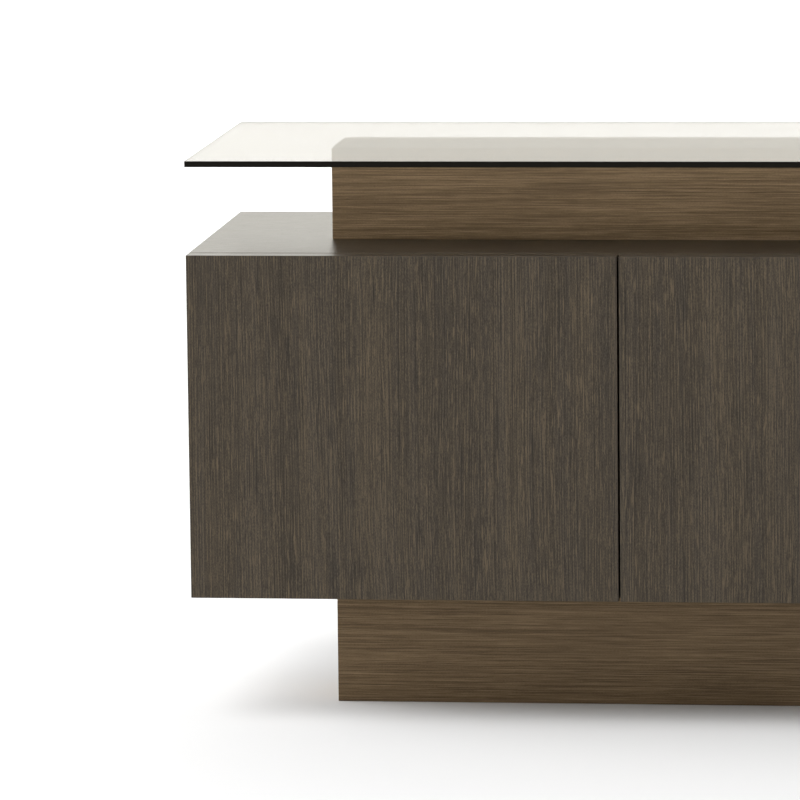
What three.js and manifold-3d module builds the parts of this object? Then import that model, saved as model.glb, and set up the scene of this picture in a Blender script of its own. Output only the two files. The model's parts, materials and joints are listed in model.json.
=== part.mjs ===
// Office credenza: a glass top on a recessed bronze riser, a long veneered cabinet with
// four flat push-to-open doors, and a recessed bronze plinth with levelling feet.
// Millimetres, +Z up. Origin on the floor, under the middle of the object.
// The fronts face -Y, and +X is to the right of someone standing in front of it.

import * as THREE from 'three';
import { mergeVertices } from 'three/addons/utils/BufferGeometryUtils.js';
import Module from 'manifold-3d';

// ---- driving dimensions -------------------------------------------------------------

const WIDTH = 2200;            // glass, cabinet and fronts are flush at both ends
const GLASS_DEPTH = 508;
const GLASS_T = 8;
const CABINET_DEPTH = 496;     // door front to cabinet back

const PLINTH_H = 167.5;
const CABINET_H = 440.5;
const RISER_H = 112;

const BASE_INSET_X = 165;      // plinth and riser, from the ends
const BASE_SETBACK = 180;      // plinth and riser, from the door fronts
const BASE_DEPTH = 140;
const BASE_BOARD_T = 18;

const PANEL_T = 22;            // top, bottom, sides, shelves
const BACK_T = 8;
const BACK_INSET = 2;

const DOOR_T = 28;
const DOOR_REAR_GAP = 2.5;     // between a closed door and the cabinet's front edges
const MEETING_GAP = 2.5;       // between the two doors of a pair
const CENTRE_GAP = 5;          // between the two middle doors, which both swing into it

const PIVOT_IN = 8;            // hinge pin, from the door's hinge-side edge
const PIVOT_BACK = 6.5;        // hinge pin, behind the door's front face
const HINGE_FROM_END = 75;     // hinge centre line, from the door's top and bottom edges

const SHELF_UNDERSIDE = 377;
const SHELF_FRONT_SETBACK = 44;
const SHELF_END_GAP = 1;
const SUPPORT_ROWS = [-140, 190];        // y of the two rows of shelf holes
const SUPPORT_PITCH = 32;
const SUPPORT_BELOW = 8;                 // hole centre below the shelf's underside

const LATCH_TRAVEL_ROOM = 70;  // housing length

// ---- derived positions --------------------------------------------------------------

const X1 = WIDTH / 2;
const Z_CAB0 = PLINTH_H;
const Z_CAB1 = PLINTH_H + CABINET_H;
const Z_GLASS0 = Z_CAB1 + RISER_H;
const Z_GLASS1 = Z_GLASS0 + GLASS_T;

const Y_FRONT = -GLASS_DEPTH / 2;                       // door fronts and glass front edge
const Y_CARCASS = Y_FRONT + DOOR_T + DOOR_REAR_GAP;     // front edges of the panels
const Y_BACK = Y_FRONT + CABINET_DEPTH;

const BASE_X = X1 - BASE_INSET_X;
const BASE_Y0 = Y_FRONT + BASE_SETBACK;
const BASE_Y1 = BASE_Y0 + BASE_DEPTH;

const DOOR_W = (WIDTH - 2 * MEETING_GAP - CENTRE_GAP) / 4;
const PARTITION_X = PANEL_T + CENTRE_GAP / 2;           // half thickness of the partition
const Y_BACK_PANEL1 = Y_BACK - BACK_INSET;
const Y_BACK_PANEL0 = Y_BACK_PANEL1 - BACK_T;
const HINGE_Z = [Z_CAB0 + HINGE_FROM_END, Z_CAB1 - HINGE_FROM_END];

// ---- finishes -----------------------------------------------------------------------

const veneer = () => new THREE.MeshStandardMaterial({ color: 0x50493f, roughness: 0.45, metalness: 0 });
const lining = () => new THREE.MeshStandardMaterial({ color: 0x5a5249, roughness: 0.55, metalness: 0 });
const bronze = () => new THREE.MeshStandardMaterial({ color: 0x5c4d38, roughness: 0.38, metalness: 0.85 });
const glass = () => new THREE.MeshStandardMaterial({ color: 0xe8e6dc, roughness: 0.03, metalness: 0, transparent: true, opacity: 0.35 });
const steel = () => new THREE.MeshStandardMaterial({ color: 0xb4b4b2, roughness: 0.3, metalness: 1 });
const plastic = () => new THREE.MeshStandardMaterial({ color: 0x2a2a2a, roughness: 0.6, metalness: 0 });
const timber = () => new THREE.MeshStandardMaterial({ color: 0xb08d62, roughness: 0.7, metalness: 0 });

// ---- geometry helpers ---------------------------------------------------------------

const wasm = await Module();
wasm.setup();

function block(xa, xb, ya, yb, za, zb) {
  const g = new THREE.BoxGeometry(Math.abs(xb - xa), Math.abs(yb - ya), Math.abs(zb - za));
  g.translate((xa + xb) / 2, (ya + yb) / 2, (za + zb) / 2);
  return g;
}

// A round bar along one axis, between two points of that axis.
function bar(axis, r, a, b, p, q, sides) {
  const g = new THREE.CylinderGeometry(r, r, Math.abs(b - a), sides);
  const m = (a + b) / 2;
  if (axis === 'x') { g.rotateZ(Math.PI / 2); g.translate(m, p, q); }
  if (axis === 'y') { g.translate(p, m, q); }
  if (axis === 'z') { g.rotateX(Math.PI / 2); g.translate(p, q, m); }
  return g;
}

// An outline in the XY plane, extruded along Z.
function prismZ(points, z0, z1) {
  const shape = new THREE.Shape(points.map(([x, y]) => new THREE.Vector2(x, y)));
  const g = new THREE.ExtrudeGeometry(shape, { depth: z1 - z0, bevelEnabled: false });
  g.translate(0, 0, z0);
  return g;
}

// An outline in the XZ plane, extruded along Y.
function prismY(points, y0, y1) {
  const shape = new THREE.Shape(points.map(([x, z]) => new THREE.Vector2(x, z)));
  const g = new THREE.ExtrudeGeometry(shape, { depth: y1 - y0, bevelEnabled: false });
  const at = g.attributes.position;
  for (let i = 0; i < at.count; i++) {
    const x = at.getX(i), z = at.getY(i), d = at.getZ(i);
    at.setXYZ(i, x, y1 - d, z);
  }
  g.computeVertexNormals();
  return g;
}

function solidOf(geometry) {
  const g = geometry.clone();
  g.deleteAttribute('normal');
  g.deleteAttribute('uv');
  const m = mergeVertices(g, 1e-4);
  return new wasm.Manifold(new wasm.Mesh({
    numProp: 3,
    vertProperties: new Float32Array(m.attributes.position.array),
    triVerts: new Uint32Array(m.index.array),
  }));
}

function geometryOf(solid) {
  const mesh = solid.getMesh();
  const g = new THREE.BufferGeometry();
  g.setAttribute('position', new THREE.BufferAttribute(new Float32Array(mesh.vertProperties), 3));
  g.setIndex(new THREE.BufferAttribute(new Uint32Array(mesh.triVerts), 1));
  g.computeVertexNormals();
  return g;
}

function joined(pieces, cuts = []) {
  let s = solidOf(pieces[0]);
  for (const p of pieces.slice(1)) s = s.add(solidOf(p));
  for (const c of cuts) s = s.subtract(solidOf(c));
  return geometryOf(s);
}

function put(group, name, geometry, material) {
  const mesh = new THREE.Mesh(geometry, material);
  mesh.name = name;
  group.add(mesh);
  return mesh;
}

// ---- the object ---------------------------------------------------------------------

const credenza = new THREE.Group();
credenza.name = 'credenza';

// Glass top, resting on the riser.
const top = new THREE.Group();
top.position.set(0, 0, Z_GLASS0);
credenza.add(top);
put(top, 'glass_top', block(-X1, X1, -GLASS_DEPTH / 2, GLASS_DEPTH / 2, 0, GLASS_T), glass());

// Riser and plinth: four metal-faced boards each, mitred at the corners.
function mitredBase(name, z0, height) {
  const group = new THREE.Group();
  group.position.set(0, BASE_Y0, z0);
  credenza.add(group);
  const t = BASE_BOARD_T, x = BASE_X, d = BASE_DEPTH;
  put(group, name + '_front', prismZ([[-x, 0], [x, 0], [x - t, t], [-x + t, t]], 0, height), bronze());
  put(group, name + '_back', prismZ([[-x + t, d - t], [x - t, d - t], [x, d], [-x, d]], 0, height), bronze());
  put(group, name + '_left_end', prismZ([[-x, 0], [-x + t, t], [-x + t, d - t], [-x, d]], 0, height), bronze());
  put(group, name + '_right_end', prismZ([[x, 0], [x, d], [x - t, d - t], [x - t, t]], 0, height), bronze());
  return group;
}

const riser = mitredBase('riser', Z_CAB1, RISER_H);
{
  const t = BASE_BOARD_T;
  put(riser, 'riser_cap', block(-BASE_X + t, BASE_X - t, t, BASE_DEPTH - t, RISER_H - t, RISER_H), bronze());
  put(riser, 'riser_centre_block', block(-30, 30, t, BASE_DEPTH - t, 0, RISER_H - t), timber());
}

const plinth = mitredBase('plinth', 0, PLINTH_H);

// Bearers across the plinth. The outer two take the screw stems of the levelling feet.
const BEARER_Z0 = 14, BEARER_Z1 = 60, BEARER_W = 60, BEARER_X = 830;
const FOOT_Y = [BASE_DEPTH / 2 - 34, BASE_DEPTH / 2 + 34];
const STEM_R = 4, STEM_HOLE_R = 4.5;
{
  const t = BASE_BOARD_T;
  const bearer = (x) => block(x - BEARER_W / 2, x + BEARER_W / 2, t, BASE_DEPTH - t, BEARER_Z0, BEARER_Z1);
  const holes = (x) => FOOT_Y.map((y) => bar('z', STEM_HOLE_R, BEARER_Z0 - 5, BEARER_Z1 + 5, x, y, 16));
  put(plinth, 'plinth_bearer_left', joined([bearer(-BEARER_X)], holes(-BEARER_X)), timber());
  put(plinth, 'plinth_bearer_centre', bearer(0), timber());
  put(plinth, 'plinth_bearer_right', joined([bearer(BEARER_X)], holes(BEARER_X)), timber());

  // A foot is one turned piece: a pad with a chamfered rim, a neck and a stem.
  const footProfile = [
    [0, 0], [13, 0], [14, 1.2], [14, 5], [12.5, 6.5], [6.5, 7], [6.5, 11], [STEM_R, 11.5], [STEM_R, 54], [3.2, 55], [0, 55],
  ].map(([r, z]) => new THREE.Vector2(r, z));
  let n = 1;
  for (const x of [-BEARER_X, BEARER_X]) {
    for (const y of FOOT_Y) {
      const g = new THREE.LatheGeometry(footProfile, 16);
      g.rotateX(Math.PI / 2);
      const foot = put(plinth, 'levelling_foot_' + n, joined([g]), steel());
      foot.position.set(x, y, 0);
      n += 1;
    }
  }
}

// Cabinet: top, bottom and sides mitred into one box, a thick centre partition, a back panel.
const cabinet = new THREE.Group();
credenza.add(cabinet);
{
  const x = X1, t = PANEL_T, z0 = Z_CAB0, z1 = Z_CAB1, y0 = Y_CARCASS, y1 = Y_BACK;
  put(cabinet, 'top_panel', prismY([[-x, z1], [-x + t, z1 - t], [x - t, z1 - t], [x, z1]], y0, y1), veneer());
  put(cabinet, 'bottom_panel', prismY([[-x, z0], [x, z0], [x - t, z0 + t], [-x + t, z0 + t]], y0, y1), veneer());

  // Shelf-support holes: five on each row, on every upright face.
  const holeZ = [-2, -1, 0, 1, 2].map((k) => SHELF_UNDERSIDE - SUPPORT_BELOW + k * SUPPORT_PITCH);
  const holesFrom = (xa, xb) => SUPPORT_ROWS.flatMap((y) => holeZ.map((z) => bar('x', 2.9, xa, xb, y, z, 10)));
  const DEEP = 11;
  const left = prismY([[-x, z0], [-x + t, z0 + t], [-x + t, z1 - t], [-x, z1]], y0, y1);
  const right = prismY([[x, z0], [x, z1], [x - t, z1 - t], [x - t, z0 + t]], y0, y1);
  put(cabinet, 'left_side', joined([left], holesFrom(-x + t - DEEP, -x + t + 5)), veneer());
  put(cabinet, 'right_side', joined([right], holesFrom(x - t - 5, x - t + DEEP)), veneer());

  const p = PARTITION_X;
  put(cabinet, 'centre_partition', joined(
    [block(-p, p, y0, Y_BACK_PANEL0, z0 + t, z1 - t)],
    [...holesFrom(-p - 5, -p + DEEP), ...holesFrom(p - DEEP, p + 5)],
  ), lining());
  put(cabinet, 'back_panel', block(-x + t, x - t, Y_BACK_PANEL0, Y_BACK_PANEL1, z0 + t, z1 - t), veneer());

  // Shelves, and the four supports under each: a plate, a tongue and a peg.
  const sy0 = Y_CARCASS + SHELF_FRONT_SETBACK, sy1 = Y_BACK_PANEL0 - 1;
  const bays = [['left', -x + t, -p], ['right', p, x - t]];
  for (const [side, xa, xb] of bays) {
    put(cabinet, 'shelf_' + side, block(xa + SHELF_END_GAP, xb - SHELF_END_GAP, sy0, sy1, SHELF_UNDERSIDE, SHELF_UNDERSIDE + PANEL_T), lining());
    let n = 1;
    for (const [wall, s] of [[xa, 1], [xb, -1]]) {
      for (const y of SUPPORT_ROWS) {
        const support = new THREE.Group();
        support.position.set(wall, y, SHELF_UNDERSIDE);
        cabinet.add(support);
        put(support, 'shelf_support_' + side + '_' + n, joined([
          block(0, s * 1.5, -6, 6, -16, 0),
          block(0, s * 12, -6, 6, -1.5, 0),
          bar('x', 2.5, -s * 9, s * 1, 0, -SUPPORT_BELOW, 10),
        ]), steel());
        n += 1;
      }
    }
  }
}

// Push-to-open latches under the top panel, one double housing for each pair of doors.
const MEETING_X = X1 - DOOR_W - MEETING_GAP / 2;
const LATCH_Z = Z_CAB1 - PANEL_T - 7.5;
const PLUNGER_R = 4, PLUNGER_X = 12, PLUNGER_GAP = 0.5;
{
  let n = 1;
  for (const [side, x] of [['left', -MEETING_X], ['right', MEETING_X]]) {
    const latch = new THREE.Group();
    latch.position.set(x, Y_CARCASS, LATCH_Z);
    cabinet.add(latch);
    const y0 = 8, y1 = y0 + LATCH_TRAVEL_ROOM;
    put(latch, 'latch_housing_' + side, joined(
      [block(-22, 22, y0, y1, -7.5, 7.5), block(-30, 30, y1 - 22, y1 - 4, 4.5, 7.5)],
      [-PLUNGER_X, PLUNGER_X].map((u) => bar('y', PLUNGER_R + 0.4, y0 - 5, y1 - 6, u, 0, 12)),
    ), plastic());
    for (const u of [-PLUNGER_X, PLUNGER_X]) {
      const tip = -DOOR_REAR_GAP + PLUNGER_GAP;
      put(latch, 'latch_plunger_' + n, joined([
        bar('y', PLUNGER_R, tip + 2, y1 - 10, u, 0, 12),
        bar('y', PLUNGER_R - 0.8, tip, tip + 3, u, 0, 12),
      ]), plastic());
      n += 1;
    }
  }
}

// Doors, numbered from the left. Local axes: s*u runs from the hinge-side edge into the door,
// y runs back from the front face, z is the height. Doors 1 and 4 hang on the sides, doors 2
// and 3 on the partition.
const DOORS = [
  { n: 1, edge: -X1, s: 1 },
  { n: 2, edge: -CENTRE_GAP / 2, s: -1 },
  { n: 3, edge: CENTRE_GAP / 2, s: 1 },
  { n: 4, edge: X1, s: -1 },
];

// Hinge cup: a steel box let into the door's back, with screw wings and the pin across it.
const CUP_U0 = 3.8, CUP_U1 = 37.4, CUP_V0 = 2.4, CUP_V1 = DOOR_T + 1.3, CUP_H = 18, CUP_WALL = 1;
const PIN_R = 1.5, EYE_BORE_R = 1.85, EYE_R = 2.9;

function hingeCup(s) {
  const w = CUP_WALL;
  return joined([
    joined(
      [block(s * CUP_U0, s * CUP_U1, CUP_V0, CUP_V1, -CUP_H, CUP_H)],
      [block(s * (CUP_U0 + w), s * (CUP_U1 - w), CUP_V0 + w, CUP_V1 + 5, -CUP_H + w, CUP_H - w)],
    ),
    block(s * 14, s * 32, DOOR_T + 0.3, CUP_V1, CUP_H - w, CUP_H + 13),
    block(s * 14, s * 32, DOOR_T + 0.3, CUP_V1, -CUP_H - 13, -CUP_H + w),
    bar('z', PIN_R, -CUP_H + 0.5, CUP_H - 0.5, s * PIVOT_IN, PIVOT_BACK, 12),
  ]);
}

// Hinge arm: an eye round the pin, a gooseneck out of the cup, and a mounting plate on the
// upright behind the door.
function hingeArm(s) {
  const v = PIVOT_BACK, h = 7, face = PANEL_T;
  return joined([
    bar('z', EYE_R, -h, h, s * PIVOT_IN, v, 12),
    block(s * PIVOT_IN, s * 35, v - 1.4, v + 1.4, -h, h),
    block(s * 32, s * 35, v - 1.4, 52, -h, h),
    block(s * (face + 3), s * 35, 49, 100, -h, h),
    block(s * face, s * (face + 3.5), 46, 106, -h, h),
    block(s * face, s * (face + 3.5), 64, 92, -26, 26),
  ], [
    bar('z', EYE_BORE_R, -h - 5, h + 5, s * PIVOT_IN, v, 12),
  ]);
}

for (const { n, edge, s } of DOORS) {
  const hung = new THREE.Group();
  hung.position.set(edge, Y_FRONT, 0);
  credenza.add(hung);
  put(hung, 'door_' + n, joined(
    [block(0, s * DOOR_W, 0, DOOR_T, Z_CAB0, Z_CAB1)],
    HINGE_Z.map((z) => block(s * (CUP_U0 - 0.3), s * (CUP_U1 + 0.3), CUP_V0 - 0.3, DOOR_T + 5, z - CUP_H - 0.3, z + CUP_H + 0.3)),
  ), veneer());
  HINGE_Z.forEach((z, i) => {
    const level = i === 0 ? 'lower' : 'upper';
    const cup = put(hung, 'hinge_cup_' + n + '_' + level, hingeCup(s), steel());
    cup.position.set(0, 0, z);
    const arm = put(hung, 'hinge_arm_' + n + '_' + level, hingeArm(s), steel());
    arm.position.set(0, 0, z);
  });
}

export default credenza;
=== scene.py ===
"""Looks of the office credenza: finishes, softened edges, small hardware, light and camera.
Metres, +Z up, doors face -Y."""

import json
import math

import bmesh
import bpy
from mathutils import Matrix, Vector


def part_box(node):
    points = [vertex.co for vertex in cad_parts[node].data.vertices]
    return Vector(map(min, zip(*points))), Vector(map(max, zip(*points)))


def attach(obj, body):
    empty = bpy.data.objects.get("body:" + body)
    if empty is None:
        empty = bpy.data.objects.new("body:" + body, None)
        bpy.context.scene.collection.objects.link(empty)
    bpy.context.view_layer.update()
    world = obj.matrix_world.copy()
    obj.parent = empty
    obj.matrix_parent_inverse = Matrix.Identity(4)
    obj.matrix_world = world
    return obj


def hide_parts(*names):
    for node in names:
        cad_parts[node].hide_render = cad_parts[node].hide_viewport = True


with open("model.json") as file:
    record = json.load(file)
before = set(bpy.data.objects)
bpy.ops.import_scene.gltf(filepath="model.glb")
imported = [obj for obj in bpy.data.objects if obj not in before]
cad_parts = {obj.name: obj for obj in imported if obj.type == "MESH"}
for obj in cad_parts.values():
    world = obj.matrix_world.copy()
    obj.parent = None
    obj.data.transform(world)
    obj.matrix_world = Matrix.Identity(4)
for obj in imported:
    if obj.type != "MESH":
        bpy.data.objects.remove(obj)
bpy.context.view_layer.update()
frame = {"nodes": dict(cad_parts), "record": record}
NODES = frame["nodes"]
BODY_OF = {n: b for b, ns in frame["record"]["behaviour"]["bodies"].items() for n in ns}
scene = bpy.context.scene

# ------------------------------------------------------------------------------------
# camera
# ------------------------------------------------------------------------------------

cam_data = bpy.data.cameras.new("camera")
cam_data.sensor_width = 36.0
cam_data.lens = 267.893
cam_data.clip_start, cam_data.clip_end = 0.1, 300.0
cam = bpy.data.objects.new("camera", cam_data)
scene.collection.objects.link(cam)
yaw, pitch, roll = 0.11669, 0.14366, -0.01138
fwd = Vector((-math.sin(yaw) * math.cos(pitch), math.cos(yaw) * math.cos(pitch), -math.sin(pitch)))
right0 = Vector((math.cos(yaw), math.sin(yaw), 0.0))
up0 = right0.cross(fwd)
right = right0 * math.cos(roll) + up0 * math.sin(roll)
up = up0 * math.cos(roll) - right0 * math.sin(roll)
rot = Matrix((right, up, -fwd)).transposed()
cam.matrix_world = Matrix.Translation((0.04011, -7.66427, 1.50375)) @ rot.to_4x4()
scene.camera = cam

# ------------------------------------------------------------------------------------
# node helpers
# ------------------------------------------------------------------------------------


class Mat:
    """A material being wired up."""

    def __init__(self, name):
        self.m = bpy.data.materials.new(name)
        self.m.use_nodes = True
        self.t = self.m.node_tree
        self.t.nodes.clear()
        self.out = self.t.nodes.new("ShaderNodeOutputMaterial")
        self.bsdf = self.t.nodes.new("ShaderNodeBsdfPrincipled")
        self.link(self.bsdf.outputs[0], self.out.inputs["Surface"])

    def link(self, a, b):
        self.t.links.new(a, b)

    def put(self, socket, value):
        if isinstance(value, bpy.types.NodeSocket):
            self.link(value, socket)
        else:
            socket.default_value = value

    def add(self, kind, **props):
        n = self.t.nodes.new(kind)
        for k, v in props.items():
            setattr(n, k, v)
        return n

    def set(self, **values):
        for k, v in values.items():
            self.put(self.bsdf.inputs[k.replace("_", " ")], v)

    def coords(self):
        return self.add("ShaderNodeTexCoord").outputs["Object"]

    def normal(self):
        return self.add("ShaderNodeNewGeometry").outputs["True Normal"]

    def split(self, v):
        n = self.add("ShaderNodeSeparateXYZ")
        self.link(v, n.inputs[0])
        return n.outputs[0], n.outputs[1], n.outputs[2]

    def vec(self, x, y, z):
        n = self.add("ShaderNodeCombineXYZ")
        for i, v in enumerate((x, y, z)):
            self.put(n.inputs[i], v)
        return n.outputs[0]

    def math(self, op, a, b=0.0, c=0.0, clamp=False):
        n = self.add("ShaderNodeMath", operation=op, use_clamp=clamp)
        for i, v in enumerate((a, b, c)):
            self.put(n.inputs[i], v)
        return n.outputs[0]

    def vmul(self, v, s, off=(0.0, 0.0, 0.0)):
        n = self.add("ShaderNodeVectorMath", operation="MULTIPLY_ADD")
        self.link(v, n.inputs[0])
        n.inputs[1].default_value = s
        n.inputs[2].default_value = off
        return n.outputs[0]

    def noise(self, v, s, off=(0.0, 0.0, 0.0), detail=2.0, rough=0.5, dist=0.0):
        n = self.add("ShaderNodeTexNoise", noise_dimensions="3D")
        self.link(self.vmul(v, s, off), n.inputs["Vector"])
        n.inputs["Scale"].default_value = 1.0
        n.inputs["Detail"].default_value = detail
        n.inputs["Roughness"].default_value = rough
        n.inputs["Distortion"].default_value = dist
        return n.outputs[0]

    def step(self, v, lo, hi, to0=0.0, to1=1.0):
        n = self.add("ShaderNodeMapRange", interpolation_type="SMOOTHSTEP", clamp=True)
        self.link(v, n.inputs[0])
        for i, x in enumerate((lo, hi, to0, to1)):
            n.inputs[i + 1].default_value = x
        return n.outputs[0]

    def remap(self, v, lo, hi, to0, to1):
        n = self.add("ShaderNodeMapRange", clamp=True)
        self.link(v, n.inputs[0])
        for i, x in enumerate((lo, hi, to0, to1)):
            n.inputs[i + 1].default_value = x
        return n.outputs[0]

    def mix(self, f, a, b, blend="MIX"):
        n = self.add("ShaderNodeMix", data_type="RGBA", blend_type=blend)
        self.put(n.inputs[0], f)
        for i, v in ((6, a), (7, b)):
            self.put(n.inputs[i], (*v, 1.0) if isinstance(v, tuple) and len(v) == 3 else v)
        return n.outputs[2]

    def vmix(self, f, a, b):
        n = self.add("ShaderNodeMix", data_type="VECTOR")
        self.put(n.inputs[0], f)
        self.put(n.inputs[4], a)
        self.put(n.inputs[5], b)
        return n.outputs[1]

    def ramp(self, f, stops):
        n = self.add("ShaderNodeValToRGB")
        e = n.color_ramp.elements
        while len(e) > 1:
            e.remove(e[0])
        e[0].position, e[0].color = stops[0][0], (*stops[0][1], 1.0)
        for p, c in stops[1:]:
            x = e.new(p)
            x.color = (*c, 1.0)
        self.link(f, n.inputs[0])
        return n.outputs[0]

    def bump(self, height, strength, distance):
        n = self.add("ShaderNodeBump")
        n.inputs["Strength"].default_value = strength
        n.inputs["Distance"].default_value = distance
        self.link(height, n.inputs["Height"])
        return n.outputs[0]


# ------------------------------------------------------------------------------------
# finishes
# ------------------------------------------------------------------------------------


def grain_axes(M, grain):
    """Coordinates with the third axis along the grain. On upright faces of a vertically grained
    panel it runs up; its narrow top and bottom edges carry a lipping that runs along X."""
    p = M.coords()
    x, y, z = M.split(p)
    along_x = M.vec(y, z, x)
    if grain == "x":
        return along_x
    nz = M.math("ABSOLUTE", M.split(M.normal())[2])
    return M.vmix(M.step(nz, 0.6, 0.8), p, along_x)


def veneer(name, grain, tone=1.0, rough=0.42, seed=0.0, contrast=1.0, spec=0.25, bump=0.3):
    """Smoked oak: fine straight grain, tan and dark flecks, faint grey-violet bands, open pores."""
    M = Mat(name)
    g = grain_axes(M, grain)
    o = (seed, seed * 1.7, seed * 0.31)
    # slow sideways wander of the grain
    wob = M.noise(g, (7.0, 7.0, 2.2), o, detail=1.0)
    a, b, c = M.split(g)
    shift = M.math("MULTIPLY_ADD", wob, 0.010, -0.005)
    g = M.vec(M.math("ADD", a, shift), M.math("ADD", b, shift), c)
    band = M.noise(g, (24.0, 24.0, 0.8), o, detail=2.0, rough=0.55)
    streak = M.noise(g, (170.0, 170.0, 4.0), o, detail=2.0, rough=0.6)
    long_f = M.noise(g, (1900.0, 1900.0, 1.3), o, detail=0.0)
    mid_f = M.noise(g, (2000.0, 2000.0, 38.0), (o[0] + 2.3, o[1], o[2]), detail=0.0)
    short_f = M.noise(g, (2000.0, 2000.0, 90.0), (o[0], o[1] + 6.1, o[2]), detail=0.0)
    speck = M.noise(g, (1500.0, 1500.0, 420.0), (o[0] + 7.7, o[1], o[2]), detail=0.0)
    hue = M.noise(g, (70.0, 70.0, 2.5), (o[0] + 9.1, o[1], o[2]), detail=1.5)
    tan = M.noise(g, (1050.0, 1050.0, 34.0), (o[0] + 3.7, o[1] + 1.3, o[2]), detail=1.0)
    dark = M.noise(g, (1100.0, 1100.0, 4.0), (o[0] - 5.2, o[1] + 8.8, o[2]), detail=1.0)
    pore = M.noise(g, (2300.0, 2300.0, 120.0), (o[0] + 1.9, o[1] - 4.4, o[2]), detail=1.0)
    # evenly combed growth lines, about 4 mm apart, that drift in and out of step
    drift = M.noise(g, (45.0, 45.0, 2.0), (o[0] - 2.8, o[1] + 5.5, o[2]), detail=1.0)
    lateral = M.math("ADD", *M.split(g)[:2])
    comb = M.math("SINE", M.math("MULTIPLY_ADD", drift, 14.0, M.math("MULTIPLY", lateral, 2.0 * math.pi / 0.0038)))
    comb = M.math("MULTIPLY", comb, M.step(short_f, 0.25, 0.70, 0.3, 1.6))

    k = contrast
    v = M.math("MULTIPLY_ADD", band, 0.90 * k, 0.5 - 0.45 * k)
    v = M.math("MULTIPLY_ADD", comb, 0.21 * k, v)
    for layer, w in ((streak, 0.45), (long_f, 1.35), (mid_f, 0.80), (short_f, 0.95), (speck, 1.50)):
        v = M.math("ADD", v, M.math("MULTIPLY_ADD", layer, w * k, -0.5 * w * k))
    v = M.math("MAXIMUM", M.math("MINIMUM", v, 1.0), 0.0)
    t = tone
    col = M.ramp(v, [
        (0.00, (0.0210 * t, 0.0159 * t, 0.0106 * t)),
        (0.30, (0.0415 * t, 0.0318 * t, 0.0208 * t)),
        (0.50, (0.0565 * t, 0.0432 * t, 0.0280 * t)),
        (0.72, (0.0775 * t, 0.0592 * t, 0.0378 * t)),
        (1.00, (0.1155 * t, 0.0879 * t, 0.0550 * t)),
    ])
    # greyer, cooler stretches between warmer ones
    col = M.mix(M.step(hue, 0.38, 0.66, 0.0, 0.55), col, M.mix(1.0, col, (0.93, 0.97, 1.08), "MULTIPLY"))
    # tan flecks and dark lines
    col = M.mix(M.step(tan, 0.60, 0.70, 0.0, 0.80), col, (0.140 * t, 0.104 * t, 0.063 * t))
    col = M.mix(M.step(dark, 0.60, 0.70, 0.0, 0.80), col, (0.013 * t, 0.0108 * t, 0.0088 * t))
    col = M.mix(M.step(pore, 0.66, 0.76, 0.0, 0.5), col, (0.015 * t, 0.012 * t, 0.010 * t))
    r = M.math("MULTIPLY_ADD", mid_f, 0.14, rough - 0.07)
    r = M.math("ADD", r, M.step(pore, 0.64, 0.76, 0.0, 0.15))
    h = M.math("SUBTRACT", M.math("MULTIPLY", mid_f, 0.5), M.step(pore, 0.60, 0.74))
    h = M.math("SUBTRACT", h, M.step(dark, 0.60, 0.76, 0.0, 0.7))
    M.set(Base_Color=col, Roughness=r, IOR=1.5, Normal=M.bump(h, bump, 0.0001))
    M.bsdf.inputs["Specular IOR Level"].default_value = spec
    return M.m


def bronze(name, flat=False, tone=1.0, metal=0.15, gloss=0.0):
    """Bronze facing brushed along its length: long fine lines, some bright, some dark."""
    M = Mat(name)
    x, y, z = M.split(M.coords())
    # third axis across the brushing
    g = M.vec(x, z, y) if flat else M.vec(x, y, z)
    cloud = M.noise(g, (1.6, 1.6, 14.0), detail=2.0)
    band = M.noise(g, (3.0, 3.0, 60.0), (2.0, 7.0, 1.0), detail=2.0, rough=0.6)
    line = M.noise(g, (7.5, 7.5, 900.0), (5.0, 1.0, 3.0), detail=0.0)
    line2 = M.noise(g, (20.0, 20.0, 1080.0), (3.0, 6.0, 8.0), detail=1.0)
    hair = M.noise(g, (50.0, 50.0, 1600.0), (1.0, 4.0, 9.0), detail=1.0)
    lite = M.noise(g, (7.0, 7.0, 700.0), (11.0, 2.0, 5.0), detail=1.0)
    dark = M.noise(g, (6.0, 6.0, 640.0), (-4.0, 8.0, 2.0), detail=1.0)
    grit = M.noise(g, (420.0, 420.0, 1400.0), (2.0, 9.0, 6.0), detail=0.0)
    v = M.math("MULTIPLY_ADD", cloud, 0.25, 0.375)
    for layer, w in ((band, 0.38), (line, 0.98), (line2, 0.86), (hair, 0.74), (grit, 0.45)):
        v = M.math("ADD", v, M.math("MULTIPLY_ADD", layer, w, -0.5 * w))
    v = M.math("MAXIMUM", M.math("MINIMUM", v, 1.0), 0.0)
    t = tone
    col = M.ramp(v, [
        (0.0, (0.070 * t, 0.0455 * t, 0.0225 * t)),
        (0.5, (0.1300 * t, 0.0870 * t, 0.0455 * t)),
        (1.0, (0.2150 * t, 0.1480 * t, 0.0830 * t)),
    ])
    col = M.mix(M.step(lite, 0.64, 0.78, 0.0, 0.55), col, (0.265 * t, 0.188 * t, 0.110 * t))
    col = M.mix(M.step(dark, 0.64, 0.78, 0.0, 0.60), col, (0.048 * t, 0.030 * t, 0.0150 * t))
    r = M.math("MULTIPLY_ADD", line, 0.18, 0.36 - gloss)
    h = M.math("ADD", M.math("MULTIPLY", line, 0.6), M.math("MULTIPLY", hair, 0.4))
    M.set(Base_Color=col, Metallic=metal, Roughness=r, IOR=1.5, Normal=M.bump(h, 0.25, 0.00008))
    M.bsdf.inputs["Specular IOR Level"].default_value = 0.2
    return M.m


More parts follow.
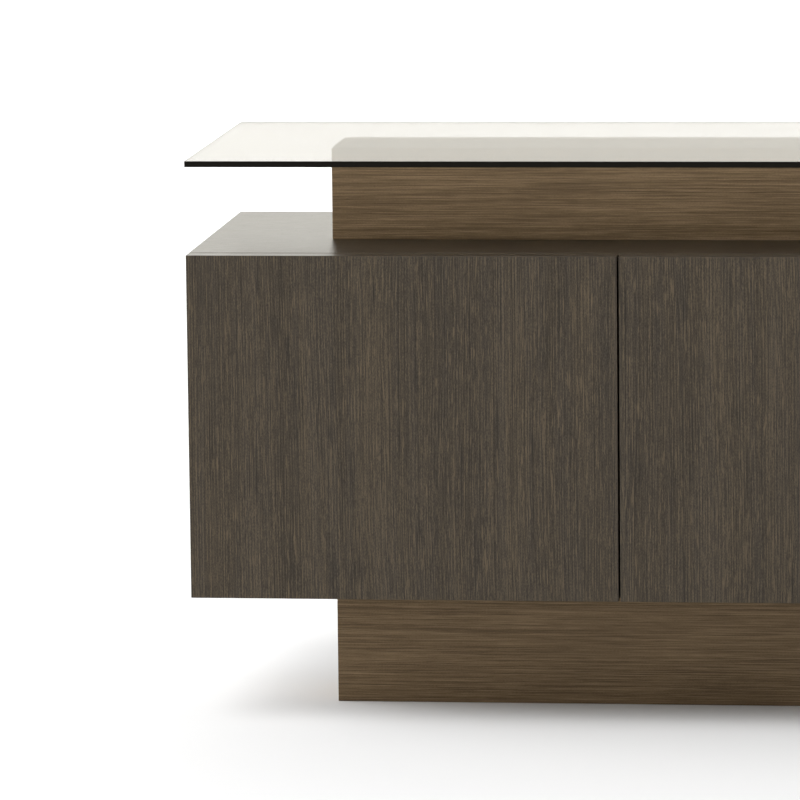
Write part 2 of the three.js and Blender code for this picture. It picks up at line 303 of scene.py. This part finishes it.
def steel(name):
    """Nickel-plated pressed steel: faint drawing lines and slight dulling."""
    M = Mat(name)
    p = M.coords()
    a = M.noise(p, (60.0, 60.0, 60.0), detail=3.0)
    b = M.noise(p, (900.0, 900.0, 90.0), detail=2.0)
    col = M.ramp(a, [(0.25, (0.56, 0.55, 0.53)), (0.75, (0.74, 0.73, 0.705))])
    r = M.math("ADD", M.math("MULTIPLY_ADD", a, 0.16, 0.28), M.math("MULTIPLY_ADD", b, 0.10, -0.05))
    M.set(Base_Color=col, Metallic=1.0, Roughness=r, Normal=M.bump(b, 0.12, 0.00004))
    return M.m


def plastic(name, c):
    """Moulded plastic with a fine spark-eroded texture."""
    M = Mat(name)
    p = M.coords()
    a = M.noise(p, (1400.0, 1400.0, 1400.0), detail=2.0)
    b = M.noise(p, (30.0, 30.0, 30.0), detail=2.0)
    col = M.ramp(b, [(0.3, tuple(0.85 * v for v in c)), (0.7, tuple(1.15 * v for v in c))])
    M.set(Base_Color=col, Roughness=M.math("MULTIPLY_ADD", a, 0.2, 0.42), Normal=M.bump(a, 0.25, 0.00005))
    return M.m


def softwood(name):
    """Planed pine with growth rings running along Y."""
    M = Mat(name)
    x, y, z = M.split(M.coords())
    g = M.vec(x, z, y)
    ring = M.noise(g, (140.0, 60.0, 5.0), detail=2.0, dist=0.6)
    fine = M.noise(g, (900.0, 900.0, 20.0), detail=2.0)
    col = M.ramp(ring, [(0.30, (0.50, 0.335, 0.175)), (0.52, (0.60, 0.43, 0.245)), (0.64, (0.42, 0.25, 0.115))])
    col = M.mix(M.step(fine, 0.55, 0.75, 0.0, 0.35), col, (0.34, 0.21, 0.10))
    M.set(Base_Color=col, Roughness=M.math("MULTIPLY_ADD", fine, 0.2, 0.55), Normal=M.bump(fine, 0.3, 0.0001))
    return M.m


def glass_edge_painted_shade(name):
    """The ground edge of the pane, coloured near-black: painted shade standing in for the darkness that the long way
    through the tinted glass gives.
    """
    M = Mat(name)
    p = M.coords()
    n = M.noise(p, (60.0, 60.0, 900.0), detail=3.0)
    M.set(Base_Color=M.mix(n, (0.0044, 0.0039, 0.0026), (0.0084, 0.0073, 0.0049)),
          Roughness=M.math("MULTIPLY_ADD", n, 0.15, 0.15), IOR=1.52)
    M.bsdf.inputs["Specular IOR Level"].default_value = 0.06
    return M.m


def clear_glass(name):
    """Float glass with a slight bronze body tint. Its long edges take the separate near-black edge finish, which is
    painted shade.
    """
    M = Mat(name)
    p = M.coords()
    smear = M.noise(p, (5.0, 5.0, 5.0), detail=3.0)
    M.set(Base_Color=(1.0, 1.0, 1.0, 1.0), Roughness=M.step(smear, 0.62, 0.80, 0.0, 0.015), IOR=1.52)
    M.bsdf.inputs["Transmission Weight"].default_value = 1.0
    v = M.add("ShaderNodeVolumeAbsorption")
    v.inputs["Color"].default_value = (0.82, 0.80, 0.76, 1.0)
    v.inputs["Density"].default_value = 26.0
    M.link(v.outputs[0], M.out.inputs["Volume"])
    return M.m


VENEER_Z = veneer("veneer_upright", "z", tone=0.945, contrast=0.60)
VENEER_X = veneer("veneer_flat", "x", seed=4.0, tone=0.945, contrast=0.60)
# Painted shade: the top finish is the same smoked oak as the fronts, made much darker (tone 0.42 against 0.945) to
# stand in for the shade on the top in front of the riser.
VENEER_TOP_PAINTED_SHADE = veneer("veneer_top_painted_shade", "x", seed=4.0, rough=0.34, bump=0.03, spec=0.5, tone=0.42, contrast=0.60)
# The lining is a paler inside veneer, and its tone is set lighter still than its own colour to lift the shaded inside
# of the carcass. It is partly its own colour, partly painted light.
LINING_Z = veneer("lining_upright", "z", tone=2.2, rough=0.52, seed=11.0, contrast=0.65)
LINING_X = veneer("lining_flat", "x", tone=2.2, rough=0.52, seed=17.0, contrast=0.65)
# One bronze in two tones: the riser's copy (1.66) is lighter than the plinth's (1.24). This is painted light on the
# riser and painted shade on the plinth under the overhang.
BRONZE = bronze("bronze_brushed", tone=1.24)
BRONZE_RISER_PAINTED_LIGHT = bronze("bronze_brushed_riser_painted_light", tone=1.66)
BRONZE_FLAT = bronze("bronze_cap", flat=True, tone=1.2, metal=0.25)
STEEL = steel("nickel_steel")
PLASTIC = plastic("latch_plastic", (0.022, 0.022, 0.023))
PLASTIC_TIP = plastic("latch_tip", (0.10, 0.10, 0.105))
TIMBER = softwood("softwood")
GLASS = clear_glass("tinted_glass")
GLASS_EDGE_PAINTED_SHADE = glass_edge_painted_shade("glass_edge_painted_shade")

# ------------------------------------------------------------------------------------
# pieces from the frame, with softened edges
# ------------------------------------------------------------------------------------


def shown(name, me, body, material):
    ob = bpy.data.objects.new(name, me)
    scene.collection.objects.link(ob)
    me.materials.clear()
    me.materials.append(material)
    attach(ob, body)
    return ob


def softened(node, material, width, segments=2, angle=35.0, smooth=False):
    """The node's own shape with its edges eased by `width` metres."""
    me = NODES[node].data.copy()
    me.name = node + "_shape"
    bm = bmesh.new()
    bm.from_mesh(me)
    bmesh.ops.remove_doubles(bm, verts=bm.verts, dist=1e-6)
    bmesh.ops.dissolve_limit(bm, angle_limit=math.radians(1.0), use_dissolve_boundaries=False,
                             verts=bm.verts, edges=bm.edges, delimit=set())
    bmesh.ops.recalc_face_normals(bm, faces=bm.faces)
    edges = [e for e in bm.edges if e.is_manifold and e.calc_face_angle(0.0) > math.radians(angle)]
    if width:
        bmesh.ops.bevel(bm, geom=edges, offset=width, offset_type="OFFSET", segments=segments, profile=0.5,
                        affect="EDGES", clamp_overlap=True, miter_outer="SHARP")
    for f in bm.faces:
        f.smooth = smooth
    bm.to_mesh(me)
    bm.free()
    for a in [a for a in me.attributes if a.name == "custom_normal"]:
        me.attributes.remove(a)
    ob = shown(node + "_finished", me, BODY_OF[node], material)
    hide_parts(node)
    return ob


def faced(me, material, direction):
    """Faces of `me` that look along `direction` get another finish."""
    me.materials.append(material)
    for f in me.polygons:
        if f.normal.dot(Vector(direction)) > 0.95:
            f.material_index = len(me.materials) - 1


# The doors' flat top edges take the darkened top veneer: painted shade.
for n in ("door_1", "door_2", "door_3", "door_4"):
    faced(softened(n, VENEER_Z, 0.0006).data, VENEER_TOP_PAINTED_SHADE, (0, 0, 1))
faced(softened("left_side", VENEER_Z, 0.0006).data, LINING_Z, (1, 0, 0))
faced(softened("right_side", VENEER_Z, 0.0006).data, LINING_Z, (-1, 0, 0))
faced(softened("bottom_panel", VENEER_X, 0.0006).data, LINING_X, (0, 0, 1))
panel = softened("top_panel", VENEER_X, 0.0006).data
# The top panel's upper face takes the darkened top veneer: painted shade.
faced(panel, VENEER_TOP_PAINTED_SHADE, (0, 0, 1))
faced(panel, LINING_X, (0, 0, -1))
faced(softened("back_panel", VENEER_Z, 0.0004).data, LINING_Z, (0, -1, 0))
softened("centre_partition", LINING_Z, 0.0005)
for n in ("shelf_left", "shelf_right"):
    softened(n, LINING_X, 0.0006)
# Plinth and riser boards share one bronze in two tones: lighter on the riser (painted light), darker on the plinth
# (painted shade).
for side in ("front", "back", "left_end", "right_end"):
    softened(f"plinth_{side}", BRONZE, 0.0004)
    faced(softened(f"riser_{side}", BRONZE_RISER_PAINTED_LIGHT, 0.0004).data, BRONZE_FLAT, (0, 0, 1))
softened("riser_cap", BRONZE_FLAT, 0.0004)

# A hair of air stays between the pane and the riser cap.
bm = bmesh.new()
(x0, y0, z0), (x1, y1, z1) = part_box("glass_top")
bmesh.ops.create_cube(bm, size=1.0)
for v in bm.verts:
    v.co = Vector(((x0 + x1) / 2 + v.co.x * (x1 - x0), (y0 + y1) / 2 + v.co.y * (y1 - y0),
                   (z0 + 0.0004 + z1) / 2 + v.co.z * (z1 - z0 - 0.0004)))
bmesh.ops.bevel(bm, geom=list(bm.edges), offset=0.0003, offset_type="OFFSET", segments=1, profile=0.5, affect="EDGES")
me = bpy.data.meshes.new("glass_pane")
bm.to_mesh(me)
bm.free()
pane = shown("glass_pane", me, BODY_OF["glass_top"], GLASS)
# The pane's upright edge faces take the near-black edge finish: painted shade.
me.materials.append(GLASS_EDGE_PAINTED_SHADE)
for f in me.polygons:
    f.material_index = 1 if abs(f.normal.z) < 0.5 else 0
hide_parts("glass_top")
for n in NODES:
    if n.startswith("plinth_bearer") or n == "riser_centre_block":
        softened(n, TIMBER, 0.0015)
    elif n.startswith("hinge_arm"):
        softened(n, STEEL, 0.0005)
    elif n.startswith("hinge_cup"):
        softened(n, STEEL, 0.0002)
    elif n.startswith("shelf_support"):
        softened(n, STEEL, 0.0003)
    elif n.startswith("levelling_foot"):
        softened(n, STEEL, 0.0003)
    elif n.startswith("latch_housing"):
        softened(n, PLASTIC, 0.0008)
    elif n.startswith("latch_plunger"):
        softened(n, PLASTIC_TIP, 0.0003)

# ------------------------------------------------------------------------------------
# screws: cross-recessed heads on the hinges and latches
# ------------------------------------------------------------------------------------


def screw(bm, at, out, r, h, turn):
    """A closed screw head of radius r and height h at point `at`, facing along `out`."""
    w = out.orthogonal().normalized()
    q = out.cross(w)
    e1 = w * math.cos(turn) + q * math.sin(turn)
    e2 = out.cross(e1)

    def ring(points, z):
        return [bm.verts.new(at + e1 * a + e2 * b + out * z) for a, b in points]

    def circle(radius, n=24):
        return [(radius * math.cos(2 * math.pi * i / n), radius * math.sin(2 * math.pi * i / n)) for i in range(n)]

    def cross(k):
        a, b = 0.62 * r * k, 0.15 * r * k
        quarter = [(a, -b), (a, b), (b, b)]
        return [(x * c - y * d, x * d + y * c) for c, d in ((1, 0), (0, 1), (-1, 0), (0, -1)) for x, y in quarter]

    loops = [ring(circle(r), 0.0), ring(circle(r), 0.35 * h), ring(circle(0.93 * r), 0.75 * h),
             ring(circle(0.80 * r), h)]
    bm.faces.new(list(reversed(loops[0])))
    for a, b in zip(loops, loops[1:]):
        for i in range(len(a)):
            j = (i + 1) % len(a)
            bm.faces.new((a[i], a[j], b[j], b[i]))
    rim = ring(cross(1.0), h)
    pit = ring(cross(0.72), 0.25 * h)
    edges = [bm.edges.get((loops[3][i], loops[3][(i + 1) % 24])) for i in range(24)]
    edges += [bm.edges.new((rim[i], rim[(i + 1) % 12])) for i in range(12)]
    made = bmesh.ops.triangle_fill(bm, use_beauty=True, use_dissolve=False, edges=edges)
    for f in [f for f in made["geom"] if isinstance(f, bmesh.types.BMFace) and all(v in rim for v in f.verts)]:
        c = f.calc_center_median() - at
        x, y = abs(c.dot(e1)), abs(c.dot(e2))
        if min(x, y) < 0.15 * r and max(x, y) < 0.62 * r:
            bm.faces.remove(f)
    for i in range(12):
        j = (i + 1) % 12
        bm.faces.new((rim[j], rim[i], pit[i], pit[j]))
    bm.faces.new(pit)


screws = {}
hinge_edges = {1: -1.1, 2: -0.0025, 3: 0.0025, 4: 1.1}
for door, x0 in hinge_edges.items():
    side = 1.0 if door in (1, 3) else -1.0
    inward = Vector((side, 0, 0))
    for k, zc in enumerate((0.2425, 0.533)):
        spin = 0.7 * door + 1.9 * k
        fixed = screws.setdefault("carcass", [])
        for j, dz in enumerate((-0.020, 0.020)):
            fixed.append((Vector((x0 + side * 0.0255, -0.254 + 0.078, zc + dz)), inward, 0.0036, 0.0010, spin + j))
        for j, v in enumerate((0.060, 0.090)):
            fixed.append((Vector((x0 + side * 0.035, -0.254 + v, zc)), inward, 0.0030, 0.0008, spin + 2.3 * j))
        moving = screws.setdefault(f"door_{door}", [])
        for j, dz in enumerate((-0.0245, 0.0245)):
            moving.append((Vector((x0 + side * 0.023, -0.254 + 0.0293, zc + dz)), Vector((0, 1, 0)), 0.0033, 0.0004, spin + 1.1 * j))
for x in (-0.55125, 0.55125):
    for j, dx in enumerate((-0.0235, 0.0235)):
        screws["carcass"].append((Vector((x + dx, -0.1585, 0.583)), Vector((0, 0, -1)), 0.0029, 0.0008, 3.0 * x + j))
for body, rows in screws.items():
    bm = bmesh.new()
    for row in rows:
        screw(bm, *row)
    bmesh.ops.recalc_face_normals(bm, faces=bm.faces)
    me = bpy.data.meshes.new(f"screws_{body}")
    bm.to_mesh(me)
    bm.free()
    shown(f"screws_{body}", me, body, STEEL)

# ------------------------------------------------------------------------------------
# stage: floor, light
# ------------------------------------------------------------------------------------

bm = bmesh.new()
bmesh.ops.create_grid(bm, x_segments=1, y_segments=1, size=45.0)
me = bpy.data.meshes.new("floor")
bm.to_mesh(me)
bm.free()
floor = bpy.data.objects.new("floor", me)
floor.location = (0, 0, -0.0002)
scene.collection.objects.link(floor)
F = Mat("floor_pale")
F.set(Base_Color=(0.90, 0.90, 0.90, 1.0), Roughness=0.9)
F.bsdf.inputs["Specular IOR Level"].default_value = 0.0
me.materials.append(F.m)

# A soft surround: a broad key high on the front left, a window and a low fill on the left, a faintly warm
# back with a pale panel above the horizon, a little from the right.
world = bpy.data.worlds.new("studio")
scene.world = world
world.use_nodes = True
wt = world.node_tree
bg = wt.nodes["Background"]
ray = wt.nodes.new("ShaderNodeTexCoord").outputs["Generated"]


def graded(value, lo, hi, to0, to1):
    n = wt.nodes.new("ShaderNodeMapRange")
    n.interpolation_type = "SMOOTHSTEP"
    wt.links.new(value, n.inputs[0])
    for i, x in enumerate((lo, hi, to0, to1)):
        n.inputs[i + 1].default_value = x
    return n.outputs[0]


def facing(direction):
    n = wt.nodes.new("ShaderNodeVectorMath")
    n.operation = "DOT_PRODUCT"
    wt.links.new(ray, n.inputs[0])
    n.inputs[1].default_value = Vector(direction).normalized()
    return n.outputs["Value"]


def joined(op, a, b):
    n = wt.nodes.new("ShaderNodeMath")
    n.operation = op
    wt.links.new(a, n.inputs[0])
    wt.links.new(b, n.inputs[1])
    return n.outputs[0]


level = graded(facing((0.0, 1.0, 0.0)), -0.3, 0.5, 0.04, 0.35)
for part in (graded(facing((0.0, 1.0, 0.0)), 0.1, 0.8, 0.0, 0.48),
             graded(facing((-0.308, -0.533, 0.788)), 0.91, 1.0, 0.0, 3.00),
             graded(facing((-0.25, -0.433, 0.866)), 0.91, 1.0, 0.0, 2.30),
             graded(facing((-0.95, -0.3, 0.05)), 0.4, 0.95, 0.0, 2.35),
             graded(facing((-0.906, 0.0, 0.423)), 0.91, 1.0, 0.0, 5.20),
             graded(facing((-0.9, 0.3, 0.3)), 0.5, 1.0, 0.0, 0.10),
             graded(facing((0.95, -0.2, 0.20)), 0.4, 0.95, 0.0, 0.15),
             graded(facing((0.6, 0.5, 0.62)), 0.6, 1.0, 0.0, 0.14),
             graded(facing((0.0, 0.0, 1.0)), 0.02, 0.07, 0.20, 0.0),
             joined("MULTIPLY", graded(facing((0.0, 1.0, 0.0)), 0.90, 0.97, 0.0, 1.0),
                    graded(facing((0.0, 0.0, 1.0)), 0.105, 0.26, 0.0, 3.30))):
    level = joined("ADD", level, part)
wt.links.new(level, bg.inputs["Strength"])
tint = wt.nodes.new("ShaderNodeMix")
tint.data_type = "RGBA"
tint.inputs[6].default_value = (1.0, 1.0, 1.0, 1.0)
tint.inputs[7].default_value = (1.0, 0.974, 0.890, 1.0)
wt.links.new(joined("MULTIPLY", graded(facing((0.0, 1.0, 0.10)), 0.86, 0.98, 0.0, 1.0),
                    graded(facing((0.0, 0.0, 1.0)), 0.04, 0.08, 0.0, 1.0)), tint.inputs[0])
wt.links.new(tint.outputs[2], bg.inputs["Color"])

# a wide soft lamp over the far floor keeps the ground behind the pane bright
lamp = bpy.data.lights.new("far_floor_lamp", "AREA")
lamp.shape, lamp.size, lamp.size_y, lamp.energy = "RECTANGLE", 9.0, 5.0, 138.0
lamp_ob = bpy.data.objects.new("far_floor_lamp", lamp)
lamp_ob.location = (-0.8, 8.0, 3.6)
lamp_ob.visible_glossy = False
lamp_ob.visible_transmission = False
scene.collection.objects.link(lamp_ob)

scene.view_settings.view_transform = "Standard"
scene.view_settings.look = "None"
scene.view_settings.exposure = 0.0
